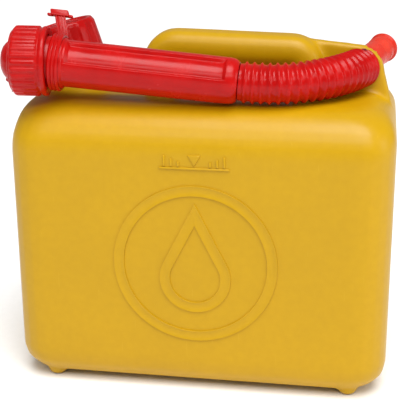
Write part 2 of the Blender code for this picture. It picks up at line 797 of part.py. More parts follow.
def bar_out(name, low, high, thickness, middle, width, spout):
    """A bar between two distances out from the spout's axis, chamfered outside, that leans to the nut."""
    outward = Vector((math.cos(TETHER_ANGLE), math.sin(TETHER_ANGLE), 0.0))
    across = Vector((-outward.y, outward.x, 0.0))
    rings = []
    for reach, inset in ((low, 0.0), (high - TETHER_CHAMFER, 0.0), (high, TETHER_CHAMFER)):
        ring = []
        for side, end_side in ((-1, -1), (1, -1), (1, 1), (-1, 1)):
            height = middle + end_side * (width / 2 - inset)
            height -= TETHER_LEAN * (reach - TETHER_RING_RADIUS)
            point = outward * reach + across * side * (thickness / 2 - inset)
            ring.append(point + Vector((0.0, 0.0, height)))
        rings.append(ring)
    return solid(name, loft(rings), None, spout)


def make_tether(spout, red):
    """The ridged ring round the collar, the band that stands up from it, and the cross head on the band."""
    inside = TUBE_COLLAR_RADIUS + TETHER_FIT
    outside = TETHER_RING_RADIUS
    valley = outside - TETHER_RIDGE
    start = tether_start()
    end = start + TETHER_RING_WIDTH
    pitch = TETHER_RING_WIDTH / TETHER_RIDGES
    profile = [(inside, start), (valley, start)]
    for ridge in range(TETHER_RIDGES):
        low = start + pitch * (ridge + TETHER_RIDGE_START)
        crest = low + TETHER_RIDGE_HALF * pitch
        high = low + 2 * TETHER_RIDGE_HALF * pitch
        profile += [(valley, low), (outside, crest), (valley, high)]
    profile += [(valley, end), (inside, end)]
    tether = solid("tether_strap", turned(profile), red, spout)
    middle = (start + end) / 2
    top = outside + TETHER_BAND_RISE
    root = outside - TETHER_BAND_ROOT
    thickness = TETHER_BAND_THICKNESS
    band = bar_out("tether_band", root, top, thickness, middle, TETHER_BAND_WIDTH, spout)
    head_low = top - TETHER_HEAD_SIZE
    head_high = top + TETHER_HEAD_PROUD
    length = TETHER_HEAD_LENGTH
    head = bar_out("tether_head", head_low, head_high, TETHER_HEAD_SIZE, middle, length, spout)
    combine(tether, band, "UNION")
    combine(tether, head, "UNION")


def towards(heading, climb):
    """The unit vector at a heading, from +X round to the back, and a climb above level."""
    level = math.cos(climb)
    return Vector((level * math.cos(heading), level * math.sin(heading), math.sin(climb)))


def axis_frame(name, parent, place, heading, climb):
    """An empty at a place in millimetres, its Z along a heading and climb, its X level."""
    along = towards(heading, climb)
    level = Vector((-math.sin(heading), math.cos(heading), 0.0))
    turn = Matrix((level, along.cross(level), along)).transposed().to_4x4()
    return empty(name, parent, Matrix.Translation(place * MM) @ turn)


def main():
    clear_scene()
    yellow = plastic("yellow_hdpe", YELLOW, 0.38)
    red = plastic("red_polyethylene", RED, 0.32)
    pale_red = plastic("thin_red_polyethylene", PALE_RED, 0.3)
    rubber = plastic("seal_rubber", RUBBER, 0.6)

    left_end = -TANK_LENGTH / 2
    right_end = TANK_LENGTH / 2
    tube_end = Vector(
        (
            right_end - TUBE_END_FROM_RIGHT_END,
            -SPOUT_FORWARD,
            SHOULDER_HEIGHT + TUBE_END_RADIUS - SPOUT_SETTLE,
        )
    )
    spout_along = towards(SPOUT_HEADING, -SPOUT_DIP)
    pivot = tube_end - spout_along * TUBE_LENGTH
    nut_heading = SPOUT_HEADING + NUT_TURN
    nut_climb = NUT_DROOP - SPOUT_DIP
    plug_reach = NUT_MOUTH + PLUG_FLANGE + PLUG_DOME_HEIGHT
    nut_along = towards(nut_heading, nut_climb)
    leftmost = (pivot - nut_along * plug_reach).x
    foremost = (pivot - nut_along * NUT_MOUTH).y - (NUT_RADIUS + NUT_RIB) * math.cos(nut_heading)
    # The part's origin is the middle of the overall box, which the plug and the nut stretch.
    shift = Vector((-(leftmost + right_end) / 2, -(foremost + TANK_DEPTH / 2) / 2, 0.0))
    can = empty("can", None, Matrix.Translation(shift * MM))

    neck_origin = Vector((left_end + NECK_FROM_LEFT_END, NECK_BACK, SHOULDER_HEIGHT))
    neck_turn = Matrix.Rotation(-NECK_TILT, 4, "Y")
    neck = empty("neck_axis", can, Matrix.Translation(neck_origin * MM) @ neck_turn)
    spout = axis_frame("spout_axis", can, pivot, SPOUT_HEADING, -SPOUT_DIP)
    nut_axis = axis_frame("nut_axis", can, pivot, nut_heading, nut_climb)
    hose_end = Vector(
        (
            right_end - HOSE_END_FROM_RIGHT_END,
            WEB_BACK - WEB_THICKNESS - HOSE_RADIUS * math.cos(NOZZLE_HEADING) - HOSE_TO_WEB,
            SHOULDER_HEIGHT + HOSE_END_ABOVE_SHOULDER,
        )
    )
    eye_axis = axis_frame("eye_axis", can, hose_end, NOZZLE_HEADING, NOZZLE_CLIMB)

    make_tank(can, neck, eye_axis, yellow)
    make_closure(neck, red, rubber)
    make_nut(nut_axis, red)
    make_plug(nut_axis, red)
    make_tube(spout, red)
    make_gasket(spout, rubber)
    make_hose(can, tube_end + spout_along * GAP, hose_end, red)
    make_nozzle(eye_axis, pale_red)
    make_tether(spout, red)


main()
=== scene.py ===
"""The looks of a five-litre fuel can: a satin yellow polyethylene shell, a red closure and a red
flexible spout. Sizes in the functions are in millimetres, and places in the frame in metres."""
import json
import math
import bmesh
import bpy
from mathutils import Matrix, Vector

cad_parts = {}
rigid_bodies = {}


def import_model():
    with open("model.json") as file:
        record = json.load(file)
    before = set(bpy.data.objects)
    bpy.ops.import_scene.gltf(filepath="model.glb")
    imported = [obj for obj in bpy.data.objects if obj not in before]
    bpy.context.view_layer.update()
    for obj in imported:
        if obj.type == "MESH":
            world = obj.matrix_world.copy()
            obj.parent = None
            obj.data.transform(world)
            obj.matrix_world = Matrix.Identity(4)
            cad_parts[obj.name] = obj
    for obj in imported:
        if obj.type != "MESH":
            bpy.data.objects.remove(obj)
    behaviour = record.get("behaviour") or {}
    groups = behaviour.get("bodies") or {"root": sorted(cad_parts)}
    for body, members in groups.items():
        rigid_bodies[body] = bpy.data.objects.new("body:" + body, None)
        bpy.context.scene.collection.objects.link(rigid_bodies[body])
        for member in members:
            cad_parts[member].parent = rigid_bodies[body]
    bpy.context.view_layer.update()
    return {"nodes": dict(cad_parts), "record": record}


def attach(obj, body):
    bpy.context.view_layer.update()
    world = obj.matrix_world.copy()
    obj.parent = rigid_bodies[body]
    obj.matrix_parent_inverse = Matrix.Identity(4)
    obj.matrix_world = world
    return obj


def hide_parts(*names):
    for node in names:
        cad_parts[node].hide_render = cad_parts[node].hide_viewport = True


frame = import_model()
bpy.ops.object.select_all(action="DESELECT")

MM = 0.001
# A lathe profile closes on its axis with a ring this wide, which close_up then makes one point.
POLE = 0.01

# The can's two mid-planes and its front face, in metres.
CAN_X = 0.001315
CAN_Y = 0.003023
CAN_FRONT = CAN_Y - 0.072

# The camera looks at a point in the can's middle from this direction and distance.
TARGET = Vector((-0.006966, 0.003023, 0.1157))
DISTANCE = 0.7659
AZIMUTH = math.radians(9.487)
ELEVATION = math.radians(18.837)
ROLL = math.radians(0.452)
LENS = 95.615
SENSOR = 36.0

AIR_STRENGTH = 0.3
DIFFUSER_STRENGTH = 2.9
DIFFUSER_SPREAD = math.radians(38.0)
DIFFUSER_FROM = Vector((0.14, -0.36, 1.0))
FLOOR_SIZE = 14.0

# Where nearly all of a noise texture's values lie.
NOISE_LOW = 0.3
NOISE_HIGH = 0.7

# The raised marks on the front face.
EMBLEM_HEIGHT = 0.095
EMBLEM_BAND = 7.0
RING_RADIUS = 55.0
DROP_RADIUS = 24.0
DROP_CENTRE = -10.0
DROP_TIP = 43.0
LEVEL_HEIGHT = 0.1668

# The filler neck and its closure, up the neck's axis.
NECK_TOP = 32.9
NECK_BORE = 15.9
THREAD_RADIUS = 18.3
THREAD_START = 14.0
THREAD_PITCH = 6.0
THREAD_TURNS = 2.2
CAP_LUGS = 10
CAP_TURN = math.radians(6.0)
GRIP_BARS_TURN = math.radians(52.0)
CATCH_TURN = math.radians(205.0)

# The spout, along the tube's axis from the nut's end wall.
TUBE_LENGTH = 126.5
HOSE_START_GAP = 0.3
HOSE_END = Vector((0.100415, -0.004447, 0.2154))
SPOUT_HEADING = math.radians(2.5)
SPOUT_DIP = math.radians(5.17)
NOZZLE_HEADING = math.radians(67.2)
HOSE_BORE = 11.0
HOSE_CREST = 13.6
HOSE_VALLEY = 12.0
HOSE_PITCH = 5.3
HOSE_CUFF = 1.5
WEB_HALF = 1.5
WEB_GAP = 0.6

# The tether's ring, and the band that stands up from it and leans to the nut.
TETHER_TURN = math.radians(55.0)
TETHER_LEAN = 0.3
TETHER_CREST = 18.8
BAND_MIDDLE = 7.42


def make_camera():
    direction = Vector(
        (
            math.sin(AZIMUTH) * math.cos(ELEVATION),
            -math.cos(AZIMUTH) * math.cos(ELEVATION),
            math.sin(ELEVATION),
        )
    )
    data = bpy.data.cameras.new("studio_camera")
    data.lens = LENS
    data.sensor_width = SENSOR
    camera = bpy.data.objects.new("studio_camera", data)
    camera.location = TARGET + direction * DISTANCE
    turn = (-direction).to_track_quat("-Z", "Y").to_matrix().to_4x4()
    camera.rotation_euler = (turn @ Matrix.Rotation(-ROLL, 4, "Z")).to_euler()
    bpy.context.scene.collection.objects.link(camera)
    bpy.context.scene.camera = camera


def softbox(name, place, aim, size, power):
    data = bpy.data.lights.new(name, "AREA")
    data.shape = "RECTANGLE"
    data.size, data.size_y = size
    data.energy = power
    lamp = bpy.data.objects.new(name, data)
    lamp.location = place
    lamp.rotation_euler = (Vector(aim) - Vector(place)).to_track_quat("-Z", "Y").to_euler()
    bpy.context.scene.collection.objects.link(lamp)


def make_studio():
    """A white room lit mostly from above: a broad overhead diffuser, a strip in front of it whose
    reflection runs along the spout, and a small softbox on the right."""
    world = bpy.data.worlds.new("studio_air")
    bpy.context.scene.world = world
    world.use_nodes = True
    air = world.node_tree.nodes["Background"]
    air.inputs["Color"].default_value = (1.0, 1.0, 1.0, 1.0)
    air.inputs["Strength"].default_value = AIR_STRENGTH
    bpy.context.scene.view_settings.view_transform = "Standard"
    data = bpy.data.lights.new("overhead_diffuser", "SUN")
    data.energy = DIFFUSER_STRENGTH
    data.angle = DIFFUSER_SPREAD
    diffuser = bpy.data.objects.new("overhead_diffuser", data)
    diffuser.rotation_euler = DIFFUSER_FROM.to_track_quat("Z", "Y").to_euler()
    bpy.context.scene.collection.objects.link(diffuser)
    softbox(
        "front_strip_softbox",
        place=(0.1, -1.0, 1.0),
        aim=(0.0, 0.0, 0.18),
        size=(1.5, 0.3),
        power=6.5,
    )
    softbox(
        "right_softbox",
        place=(1.1, -0.25, 0.55),
        aim=(0.0, 0.0, 0.12),
        size=(0.5, 0.6),
        power=2.5,
    )
    bpy.ops.mesh.primitive_plane_add(size=FLOOR_SIZE)
    floor = bpy.context.object
    floor.name = "studio_floor"
    floor.data.materials.append(white_paper())


# Materials


def linear(hex_colour):
    """An sRGB hex colour as linear RGBA."""
    parts = [int(hex_colour[index : index + 2], 16) / 255 for index in (1, 3, 5)]
    light = [p / 12.92 if p <= 0.04045 else ((p + 0.055) / 1.055) ** 2.4 for p in parts]
    return (*light, 1.0)


def add_node(tree, kind, settings, inputs):
    """Adds a node with its settings. An input is a value or the output socket that feeds it."""
    made = tree.nodes.new(kind)
    for name, value in settings.items():
        setattr(made, name, value)
    for name, value in inputs.items():
        if isinstance(value, bpy.types.NodeSocket):
            tree.links.new(value, made.inputs[name])
        else:
            made.inputs[name].default_value = value
    return made


def new_material(name):
    material = bpy.data.materials.new(name)
    material.use_nodes = True
    tree = material.node_tree
    place = add_node(tree, "ShaderNodeTexCoord", {}, {}).outputs["Object"]
    return material, tree, tree.nodes["Principled BSDF"], place


def blotches(tree, place, size, detail=3.0, rough=0.5):
    """Noise with features of a size in millimetres."""
    inputs = {"Vector": place, "Scale": 1 / (size * MM), "Detail": detail, "Roughness": rough}
    return add_node(tree, "ShaderNodeTexNoise", {}, inputs).outputs["Fac"]


def span(tree, value, low, high, to_low, to_high):
    """Maps a value's stretch from low to high onto another, and holds it there."""
    inputs = {
        "Value": value,
        "From Min": low,
        "From Max": high,
        "To Min": to_low,
        "To Max": to_high,
    }
    return add_node(tree, "ShaderNodeMapRange", {}, inputs).outputs["Result"]


def blend_colour(tree, share, first, second):
    inputs = {0: share, 6: first, 7: second}
    return add_node(tree, "ShaderNodeMix", {"data_type": "RGBA"}, inputs).outputs[2]


def calculate(tree, operation, first, second=0.0):
    inputs = {0: first, 1: second}
    return add_node(tree, "ShaderNodeMath", {"operation": operation}, inputs).outputs[0]


def bump(tree, height, distance, strength, after=None):
    """A bump that stands a distance in millimetres, over the one it comes after."""
    inputs = {"Height": height, "Distance": distance * MM, "Strength": strength}
    if after:
        inputs["Normal"] = after
    return add_node(tree, "ShaderNodeBump", {}, inputs).outputs["Normal"]


def white_paper():
    """Matt white paper: a pale even ground with a faint fibre."""
    material, tree, shader, place = new_material("white_studio_paper")
    fibre = blotches(tree, place, size=6.0)
    ground = blend_colour(tree, fibre, linear("#F6F6F5"), linear("#FCFCFC"))
    tree.links.new(ground, shader.inputs["Base Color"])
    tree.links.new(bump(tree, fibre, 0.05, 0.2), shader.inputs["Normal"])
    shader.inputs["Roughness"].default_value = 0.95
    return material


def satin_yellow():
    """Blow-moulded high-density polyethylene, pigmented yellow: a satin skin that waves a little
    where the wall cooled, with a mould grain drawn coarser than life so that it shows, handling
    scuffs, and a parting line all round its mid-plane."""
    material, tree, shader, place = new_material("blow_moulded_yellow_hdpe")
    cloud = blotches(tree, place, size=70.0)
    fleck = blotches(tree, place, size=5.0, detail=4.0)
    long_way = {"Vector": place, "Rotation": (0.2, 0.5, 0.3), "Scale": (1.0, 1.0, 0.07)}
    scuff_place = add_node(tree, "ShaderNodeMapping", {}, long_way).outputs["Vector"]
    scuff_noise = blotches(tree, scuff_place, size=1.6, detail=5.0, rough=0.6)
    scuff = span(tree, scuff_noise, 0.66, 0.74, 0.0, 1.0)
    base = blend_colour(tree, cloud, linear("#B88E02"), linear("#C49803"))
    fleck_share = span(tree, fleck, NOISE_LOW, NOISE_HIGH, 0.0, 0.22)
    base = blend_colour(tree, fleck_share, base, linear("#AC8201"))
    scuff_share = calculate(tree, "MULTIPLY", scuff, 0.18)
    base = blend_colour(tree, scuff_share, base, linear("#D9B443"))
    tree.links.new(base, shader.inputs["Base Color"])
    satin = span(tree, cloud, NOISE_LOW, NOISE_HIGH, 0.33, 0.43)
    roughness = calculate(tree, "ADD", satin, calculate(tree, "MULTIPLY", scuff, 0.12))
    tree.links.new(roughness, shader.inputs["Roughness"])
    across = add_node(tree, "ShaderNodeSeparateXYZ", {}, {"Vector": place}).outputs["Y"]
    off_seam = calculate(tree, "ABSOLUTE", calculate(tree, "SUBTRACT", across, CAN_Y))
    seam = span(tree, off_seam, 0.0, 0.45 * MM, 1.0, 0.0)
    skin = bump(tree, blotches(tree, place, size=26.0, detail=2.0), 1.0, 0.22)
    skin = bump(tree, blotches(tree, place, size=0.9, detail=3.0), 0.05, 0.25, skin)
    skin = bump(tree, seam, 0.25, 0.8, skin)
    tree.links.new(skin, shader.inputs["Normal"])
    shader.inputs["IOR"].default_value = 1.54
    shader.inputs["Specular IOR Level"].default_value = 0.24
    return material


def red_plastic(name, deep, light, roughness, glow):
    """Moulded low-density polyethylene, pigmented red: a glossy skin with soft flow marks, and
    light that bleeds a little into thin edges."""
    material, tree, shader, place = new_material(name)
    flow = blotches(tree, place, size=14.0, detail=3.0)
    fleck = blotches(tree, place, size=1.4, detail=4.0)
    flow_share = span(tree, flow, NOISE_LOW, NOISE_HIGH, 0.0, 1.0)
    base = blend_colour(tree, flow_share, linear(deep), linear(light))
    fleck_share = span(tree, fleck, 0.55, 0.8, 0.0, 0.25)
    base = blend_colour(tree, fleck_share, base, linear(light))
    tree.links.new(base, shader.inputs["Base Color"])
    gloss = span(tree, flow, NOISE_LOW, NOISE_HIGH, roughness - 0.05, roughness + 0.08)
    tree.links.new(gloss, shader.inputs["Roughness"])
    skin = bump(tree, blotches(tree, place, size=9.0, detail=2.0), 0.3, 0.18)
    skin = bump(tree, blotches(tree, place, size=0.6, detail=2.0), 0.03, 0.2, skin)
    tree.links.new(skin, shader.inputs["Normal"])
    shader.inputs["IOR"].default_value = 1.51
    shader.inputs["Specular IOR Level"].default_value = 0.2
    shader.inputs["Subsurface Weight"].default_value = glow
    shader.inputs["Subsurface Radius"].default_value = (1.0, 0.15, 0.1)
    shader.inputs["Subsurface Scale"].default_value = 2.0 * MM
    return material


def seal_rubber():
    """Moulded nitrile rubber: matt near-black with a dusty bloom."""
    material, tree, shader, place = new_material("nitrile_seal_rubber")
    bloom = blotches(tree, place, size=3.0, detail=5.0)
    base = blend_colour(tree, bloom, linear("#1A1A1B"), linear("#333231"))
    tree.links.new(base, shader.inputs["Base Color"])
    matt = span(tree, bloom, NOISE_LOW, NOISE_HIGH, 0.55, 0.75)
    tree.links.new(matt, shader.inputs["Roughness"])
    grain = bump(tree, blotches(tree, place, size=0.5), 0.04, 0.4)
    tree.links.new(grain, shader.inputs["Normal"])
    shader.inputs["IOR"].default_value = 1.52
    return material


# Modelling


def work_on(piece):
    bpy.ops.object.select_all(action="DESELECT")
    piece.select_set(True)
    bpy.context.view_layer.objects.active = piece


def edit_all():
    bpy.ops.object.mode_set(mode="EDIT")
    bpy.ops.mesh.select_mode(type="VERT")
    bpy.ops.mesh.select_all(action="SELECT")


def edit_picked(piece, kind, test):
    """Starts editing a piece with only the vertices or faces that pass a test selected."""
    work_on(piece)
    bpy.ops.object.mode_set(mode="EDIT")
    pick(piece, kind, test)


def leave_edit():
    bpy.ops.object.mode_set(mode="OBJECT")


def pick(piece, kind, test):
    """Selects, in edit mode, the vertices or faces whose place and normal pass a test."""
    bpy.ops.mesh.select_all(action="DESELECT")
    bpy.ops.mesh.select_mode(type=kind)
    shape = bmesh.from_edit_mesh(piece.data)
    for item in shape.faces if kind == "FACE" else shape.verts:
        centre = item.calc_center_median() if kind == "FACE" else item.co
        if test(centre, item.normal):
            item.select = True
    shape.select_flush_mode()
    bmesh.update_edit_mesh(piece.data)


def close_up():
    """Joins seams and poles and turns every face outwards."""
    bpy.ops.mesh.select_mode(type="VERT")
    bpy.ops.mesh.select_all(action="SELECT")
    bpy.ops.mesh.remove_doubles(threshold=0.03 * MM)
    bpy.ops.mesh.normals_make_consistent(inside=False)


def turn_profile(name, corners, steps):
    """Draws a ring out along local Z through the corners (radius, height), as on a lathe."""
    bpy.ops.mesh.primitive_circle_add(vertices=steps, radius=corners[0][0] * MM)
    piece = bpy.context.object
    piece.name = name
    edit_all()
    bpy.ops.transform.translate(value=(0.0, 0.0, corners[0][1] * MM))
    for (radius, height), (next_radius, next_height) in zip(corners, corners[1:]):
        rise = (0.0, 0.0, (next_height - height) * MM)
        bpy.ops.mesh.extrude_region_move(TRANSFORM_OT_translate={"value": rise})
        share = next_radius / radius
        ring_centre = (0.0, 0.0, next_height * MM)
        bpy.ops.transform.resize(value=(share, share, 1.0), center_override=ring_centre)
    close_up()
    leave_edit()
    return piece


def swell(piece, share, test):
    """Scales the picked vertices towards or away from local Z."""
    edit_picked(piece, "VERT", test)
    bpy.ops.transform.resize(value=(share, share, 1.0), center_override=(0.0, 0.0, 0.0))
    leave_edit()


def step_faces(piece, test, margin, height):
    """Raises the middle of each picked face, inside a margin."""
    edit_picked(piece, "FACE", test)
    bpy.ops.mesh.inset(thickness=margin * MM, depth=height * MM)
    leave_edit()


def column(place, count):
    """Which of the count columns round local Z a vertex stands in."""
    return round(math.atan2(place.y, place.x) / (2 * math.pi) * count) % count


def block(name, size, centre):
    """A bar of a size in millimetres round a centre."""
    bpy.ops.mesh.primitive_cube_add(size=MM)
    piece = bpy.context.object
    piece.name = name
    edit_all()
    bpy.ops.transform.resize(value=size, center_override=(0.0, 0.0, 0.0))
    bpy.ops.transform.translate(value=Vector(centre) * MM)
    leave_edit()
    return piece


def modify(piece, kind, **settings):
    """Adds a modifier with its settings and applies it."""
    work_on(piece)
    bpy.ops.object.modifier_add(type=kind)
    modifier = piece.modifiers[-1]
    for name, value in settings.items():
        setattr(modifier, name, value)
    bpy.ops.object.modifier_apply(modifier=modifier.name)


def round_edges(piece, width, angle=35.0):
    """Rounds the edges sharper than an angle in degrees."""
    modify(
        piece,
        "BEVEL",
        width=width * MM,
        segments=2,
        limit_method="ANGLE",
        angle_limit=math.radians(angle),
    )


def seat(piece, place):
    """Puts a piece made about its own axis where it belongs, with the place kept in its mesh."""
    work_on(piece)
    piece.data.transform(place)
    bpy.ops.object.shade_smooth_by_angle(angle=math.radians(38.0))


def fit_out(piece, body, material, slot, *nodes):
    """Gives a piece its finish and its body, and hides the nodes that it stands for."""
    piece.data.materials.clear()
    piece.data.materials.append(material)
    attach(piece, body)
    if nodes:
        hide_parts(*nodes)


def axis_place(point, along):
    """The frame whose Z runs along an axis from a point, with X level."""
    along = Vector(along).normalized()
    level = Vector((-along.y, along.x, 0.0)).normalized()
    turn = Matrix((level, along.cross(level), along)).transposed().to_4x4()
    return Matrix.Translation(Vector(point)) @ turn


def joint_named(name):
    return next(j for j in frame["record"]["behaviour"]["joints"] if j["name"] == name)


def joint_place(name):
    joint = joint_named(name)
    return axis_place(joint["pos_m"], joint["axis"])


def turned(place, angle):
    return place @ Matrix.Rotation(angle, 4, "Z")


def front_place(height):
    """The frame of the front face at a height, with X to the right and Z straight out."""
    return Matrix.Translation((CAN_X, CAN_FRONT, height)) @ Matrix.Rotation(math.pi / 2, 4, "X")


# Can


def mould_can(neck, yellow):
    """The blown shell: the solid's outside, with its joins softened as the mould's fillets do, and
    the neck bored. Its own raised marks come off, because finer ones stand in their place."""
    source = frame["nodes"]["tank_shell"]
    piece = bpy.data.objects.new("moulded_can", source.data.copy())
    bpy.context.scene.collection.objects.link(piece)
    work_on(piece)
    edit_all()
    bpy.ops.mesh.remove_doubles(threshold=0.01 * MM)
    bpy.ops.mesh.bisect(
        plane_co=(0.0, CAN_FRONT - 0.02 * MM, 0.0),
        plane_no=(0.0, -1.0, 0.0),
        use_fill=True,
        clear_outer=True,
    )
    leave_edit()
    plug_corners = [(POLE, -6.0), (17.0, -6.0), (17.0, NECK_TOP), (POLE, NECK_TOP)]
    plug = turn_profile("neck_plug", plug_corners, 48)
    seat(plug, neck)
    piece.select_set(True)
    bpy.context.view_layer.objects.active = piece
    bpy.ops.object.join()
    modify(piece, "REMESH", mode="VOXEL", voxel_size=1.7 * MM, adaptivity=0.0)
    modify(piece, "SMOOTH", factor=0.5, iterations=7)
    work_on(piece)
    bpy.ops.object.mode_set(mode="EDIT")
    top = max(corner.co.z for corner in bmesh.from_edit_mesh(piece.data).verts)
    pick(piece, "VERT", lambda place, normal: place.z > top - 0.05 * MM)
    bpy.ops.mesh.select_linked()
    bpy.ops.mesh.select_all(action="INVERT")
    bpy.ops.mesh.delete(type="VERT")
    leave_edit()
    bore_corners = [(POLE, -60.0), (NECK_BORE, -60.0), (NECK_BORE, 40.0), (POLE, 40.0)]
    bore = turn_profile("neck_bore", bore_corners, 64)
    seat(bore, neck)
    modify(piece, "BOOLEAN", object=bore, operation="DIFFERENCE", solver="EXACT")
    bpy.data.objects.remove(bore, do_unlink=True)
    work_on(piece)
    bpy.ops.object.shade_smooth_by_angle(angle=math.radians(50.0))
    fit_out(piece, "tank", yellow, "yellow_shell", "tank_shell")


def relief_band(name, yellow):
    """Turns the outline under work into a raised band with a bead along both edges."""
    piece = bpy.context.object
    piece.name = name
    bpy.ops.mesh.select_all(action="SELECT")
    bpy.ops.mesh.edge_face_add()
    bpy.ops.mesh.select_mode(type="FACE")
    bpy.ops.mesh.inset(thickness=EMBLEM_BAND * MM)
    bpy.ops.mesh.delete(type="FACE")
    leave_edit()
    modify(piece, "SOLIDIFY", thickness=2.0 * MM, offset=0.0)
    work_on(piece)
    edit_all()
    bpy.ops.mesh.normals_make_consistent(inside=False)
    leave_edit()
    step_faces(piece, lambda centre, normal: normal.z > 0.9, margin=1.0, height=-0.5)
    round_edges(piece, 0.22)
    seat(piece, front_place(EMBLEM_HEIGHT))
    fit_out(piece, "tank", yellow, "yellow_shell")


def make_emblem(yellow):
    """A ring round a drop. The drop is a circle whose sides run on straight to its tip."""
    bpy.ops.mesh.primitive_circle_add(vertices=120, radius=RING_RADIUS * MM)
    edit_all()
    relief_band("emblem_ring", yellow)
    bpy.ops.mesh.primitive_circle_add(vertices=72, radius=DROP_RADIUS * MM)
    drop = bpy.context.object
    edit_all()
    bpy.ops.transform.translate(value=(0.0, DROP_CENTRE * MM, 0.0))
    touch = (DROP_CENTRE + DROP_RADIUS * DROP_RADIUS / (DROP_TIP - DROP_CENTRE)) * MM
    pick(drop, "VERT", lambda place, normal: place.y > touch)
    bpy.ops.mesh.delete(type="VERT")
    highest = max(corner.co.y for corner in bmesh.from_edit_mesh(drop.data).verts)
    pick(drop, "VERT", lambda place, normal: place.y > highest - 0.05 * MM)
    bpy.ops.mesh.extrude_region_move(TRANSFORM_OT_translate={"value": (0.0, 0.0, 0.0)})
    bpy.ops.mesh.merge(type="CENTER")
    bpy.ops.transform.translate(value=(0.0, DROP_TIP * MM - highest, 0.0))
    relief_band("emblem_drop", yellow)


def make_level_mark(yellow):
    """A plain filling mark: a line, an arrowhead above its middle and short steps on both sides."""
    place = front_place(LEVEL_HEIGHT)
    bars = [("level_line", (46.0, 1.3, 1.7), (0.0, -5.2, 0.0))]
    for side, word in ((-1, "left"), (1, "right")):
        for step in range(3):
            tall = 3.4 + 1.9 * step
            name = "level_step_%s_%d" % (word, step + 1)
            centre = (side * (10.5 + 4.6 * step), tall / 2 - 4.0, 0.0)
            bars.append((name, (1.5, tall, 1.6), centre))
    for name, size, centre in bars:
        bar = block(name, size, centre)
        step_faces(bar, lambda middle, normal: normal.z > 0.9, margin=0.25, height=0.15)
        round_edges(bar, 0.15)
        seat(bar, place)
        fit_out(bar, "tank", yellow, "yellow_shell")
    bpy.ops.mesh.primitive_cone_add(
        vertices=3, radius1=5.6 * MM, radius2=4.6 * MM, depth=1.8 * MM
    )
    arrow = bpy.context.object
    arrow.name = "level_arrow"
    edit_all()
    bpy.ops.transform.rotate(value=math.pi, orient_axis="Z", center_override=(0.0, 0.0, 0.0))
    bpy.ops.transform.translate(value=(0.0, 1.2 * MM, 0.0))
    leave_edit()
    round_edges(arrow, 0.25)
    seat(arrow, place)
    fit_out(arrow, "tank", yellow, "yellow_shell")


def make_neck_thread(neck, yellow):
    """A little over two turns of rounded thread on the filler neck."""
    bpy.ops.mesh.primitive_circle_add(vertices=10, radius=0.95 * MM, fill_type="NGON")
    thread = bpy.context.object
    thread.name = "neck_thread"
    middle = (0.0, 0.0, 0.0)
    edit_all()
    bpy.ops.transform.resize(value=(0.85, 1.0, 1.0), center_override=middle)
    bpy.ops.transform.rotate(value=math.pi / 2, orient_axis="X", center_override=middle)
    bpy.ops.transform.translate(value=(THREAD_RADIUS * MM, 0.0, THREAD_START * MM))
    leave_edit()
    modify(
        thread,
        "SCREW",
        axis="Z",
        angle=2 * math.pi * THREAD_TURNS,
        screw_offset=THREAD_PITCH * THREAD_TURNS * MM,
        iterations=1,
        steps=128,
        render_steps=128,
        use_merge_vertices=False,
    )
    work_on(thread)
    edit_all()
    close_up()
    leave_edit()
    seat(thread, neck)
    fit_out(thread, "tank", yellow, "yellow_shell")


# Filler closure


def make_cap(neck, red):
    """The outer shell of the closure: ten broad lugs, a rolled rim and a dished top with bars."""
    corners = [
        (POLE, 39.6), (12.0, 39.6), (21.3, 39.4), (21.4, 38.0), (21.4, 13.6), (22.7, 13.6),
        (22.9, 14.4), (22.85, 17.0), (22.6, 22.0), (22.3, 28.0), (22.0, 34.0), (21.6, 39.5),
        (21.3, 41.6), (20.6, 42.8), (19.6, 43.1), (18.4, 42.9), (17.7, 42.0), (17.2, 41.1),
        (15.5, 40.9), (POLE, 40.9),
    ]
    steps = 12 * CAP_LUGS
    cap = turn_profile("lugged_cap", corners, steps)

    def on_lug(place, normal):
        outside = 14.0 < place.z / MM < 41.8 and place.xy.length / MM > 21.45
        return outside and 1 <= column(place, steps) % 12 <= 6

    swell(cap, 1.042, on_lug)
    round_edges(cap, 0.3, 28.0)
    seat(cap, turned(neck, CAP_TURN))
    fit_out(cap, "filler_cap_shell", red, "red_closure", "filler_cap_outer")
    for index, (offset, length) in enumerate(((-8.4, 20.0), (0.0, 27.0), (8.4, 20.0))):
        name = "cap_grip_bar_%d" % (index + 1)
        bar = block(name, (length, 2.6, 2.6), (0.0, offset, 41.2))
        step_faces(bar, lambda middle, normal: normal.z > 0.9, margin=0.5, height=0.35)
        round_edges(bar, 0.3)
        seat(bar, turned(neck, GRIP_BARS_TURN))
        fit_out(bar, "filler_cap_shell", red, "red_closure")


def make_cap_catch(neck, red):
    """The catch on the closure's side that the tether's loop would hook over, and its knob."""
    place = turned(neck, CATCH_TURN)
    catch = block("cap_catch", (5.2, 8.0, 9.0), (19.2, 0.0, 36.2))
    step_faces(
        catch,
        lambda middle, normal: normal.x > 0.9 or normal.z > 0.9,
        margin=0.9,
        height=0.5,
    )
    round_edges(catch, 0.45)
    seat(catch, place)
    fit_out(catch, "filler_cap_shell", red, "red_closure")
    corners = [
        (POLE, 39.0), (2.4, 39.0), (2.4, 43.0), (3.0, 43.5), (3.1, 44.4), (2.7, 45.2),
        (1.4, 45.6), (POLE, 45.7),
    ]
    knob = turn_profile("cap_catch_knob", corners, 32)
    seat(knob, place @ Matrix.Translation((15.5 * MM, -1.5 * MM, 0.0)))
    fit_out(knob, "filler_cap_shell", red, "red_closure")


# Spout


